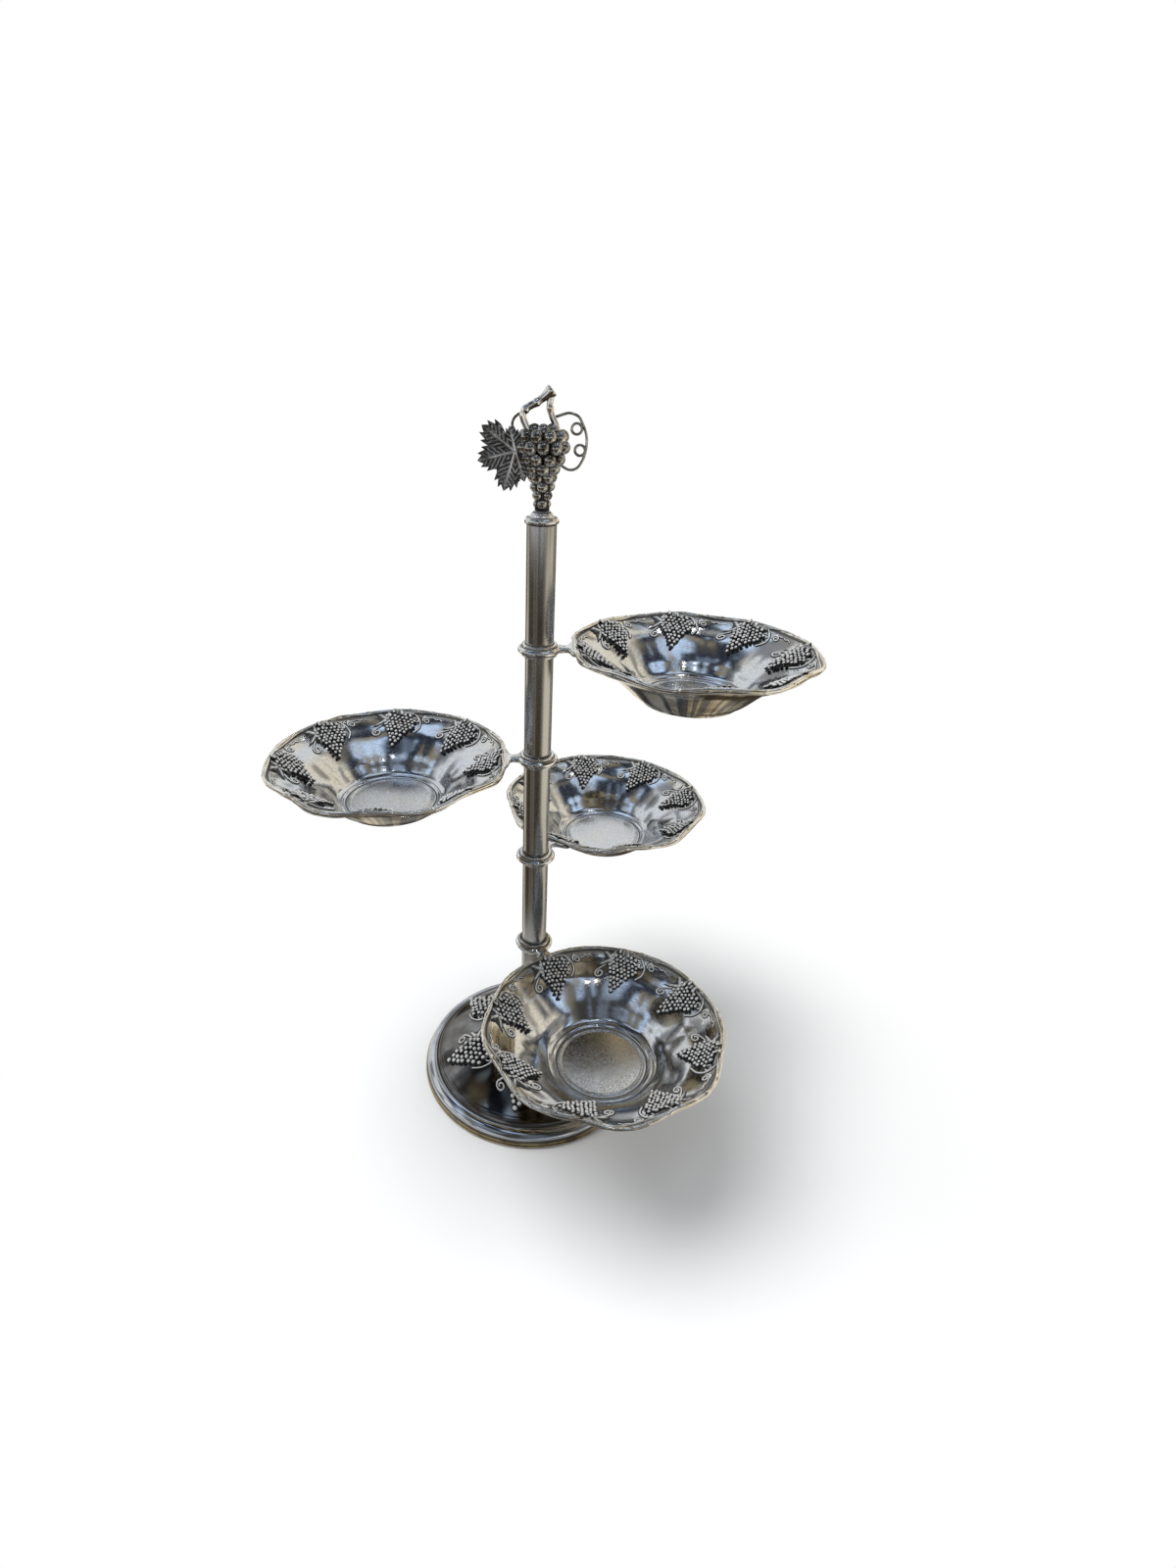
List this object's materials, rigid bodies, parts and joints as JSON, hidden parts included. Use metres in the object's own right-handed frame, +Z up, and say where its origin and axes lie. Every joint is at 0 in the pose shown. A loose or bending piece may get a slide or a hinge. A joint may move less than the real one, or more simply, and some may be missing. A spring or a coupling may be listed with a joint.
{
  "type": "rotating tiered server",
  "caption": "Tiered table server: lobed bowls with vine rims that swivel round one column, on a domed round base, topped by a bunch-of-grapes finial.",
  "frame": {"origin": "on the column's axis, on the underside of the base's felt", "axes": "+Z up along the column; -Y towards the viewer; +X towards the top bowl"},
  "size_m": [0.3957, 0.3673, 0.5598],
  "materials": {
    "silver_plate": "polished silver plate with fine wear scratches",
    "aged_silver": "cast silver plate, blackened in its hollows",
    "steel": "plain zinc-coated steel",
    "brass": "turned brass",
    "nylon": "natural nylon",
    "felt": "dark green wool felt"
  },
  "bodies": {
    "root": {"base_shell": "silver_plate", "base_plate": "steel", "base_felt": "felt", "tie_rod": "steel", "base_washer": "steel", "base_nut": "steel", "column_tube_1": "silver_plate", "column_tube_2": "silver_plate", "column_tube_3": "silver_plate", "column_tube_4": "silver_plate", "column_tube_5": "silver_plate", "tube_plug_1": "brass", "tube_plug_2": "brass", "tube_plug_3": "brass", "tube_plug_4": "brass", "tube_plug_5": "brass", "pivot_bush_1": "brass", "pivot_bush_2": "brass", "pivot_bush_3": "brass", "pivot_bush_4": "brass", "lower_thrust_washer_1": "nylon", "lower_thrust_washer_2": "nylon", "lower_thrust_washer_3": "nylon", "lower_thrust_washer_4": "nylon", "upper_thrust_washer_1": "nylon", "upper_thrust_washer_2": "nylon", "upper_thrust_washer_3": "nylon", "upper_thrust_washer_4": "nylon", "finial_cap": "silver_plate", "finial_bunch": "aged_silver", "finial_cane": "aged_silver", "finial_leaf": "aged_silver", "finial_tendril_right": "aged_silver", "finial_tendril_left": "aged_silver"},
    "tier_1": {"bowl_1": "silver_plate", "collar_1": "silver_plate"},
    "tier_2": {"bowl_2": "silver_plate", "collar_2": "silver_plate"},
    "tier_3": {"bowl_3": "silver_plate", "collar_3": "silver_plate"},
    "tier_4": {"bowl_4": "silver_plate", "collar_4": "silver_plate"}
  },
  "joints": [
    {"name": "swivel_1", "type": "hinge", "parent": "root", "child": "tier_1", "pos_m": [0, 0, 0.133], "axis": [0, 0, 1], "continuous": true},
    {"name": "swivel_2", "type": "hinge", "parent": "root", "child": "tier_2", "pos_m": [0, 0, 0.2186], "axis": [0, 0, 1], "continuous": true},
    {"name": "swivel_3", "type": "hinge", "parent": "root", "child": "tier_3", "pos_m": [0, 0, 0.3042], "axis": [0, 0, 1], "continuous": true},
    {"name": "swivel_4", "type": "hinge", "parent": "root", "child": "tier_4", "pos_m": [0, 0, 0.3898], "axis": [0, 0, 1], "continuous": true}
  ]
}
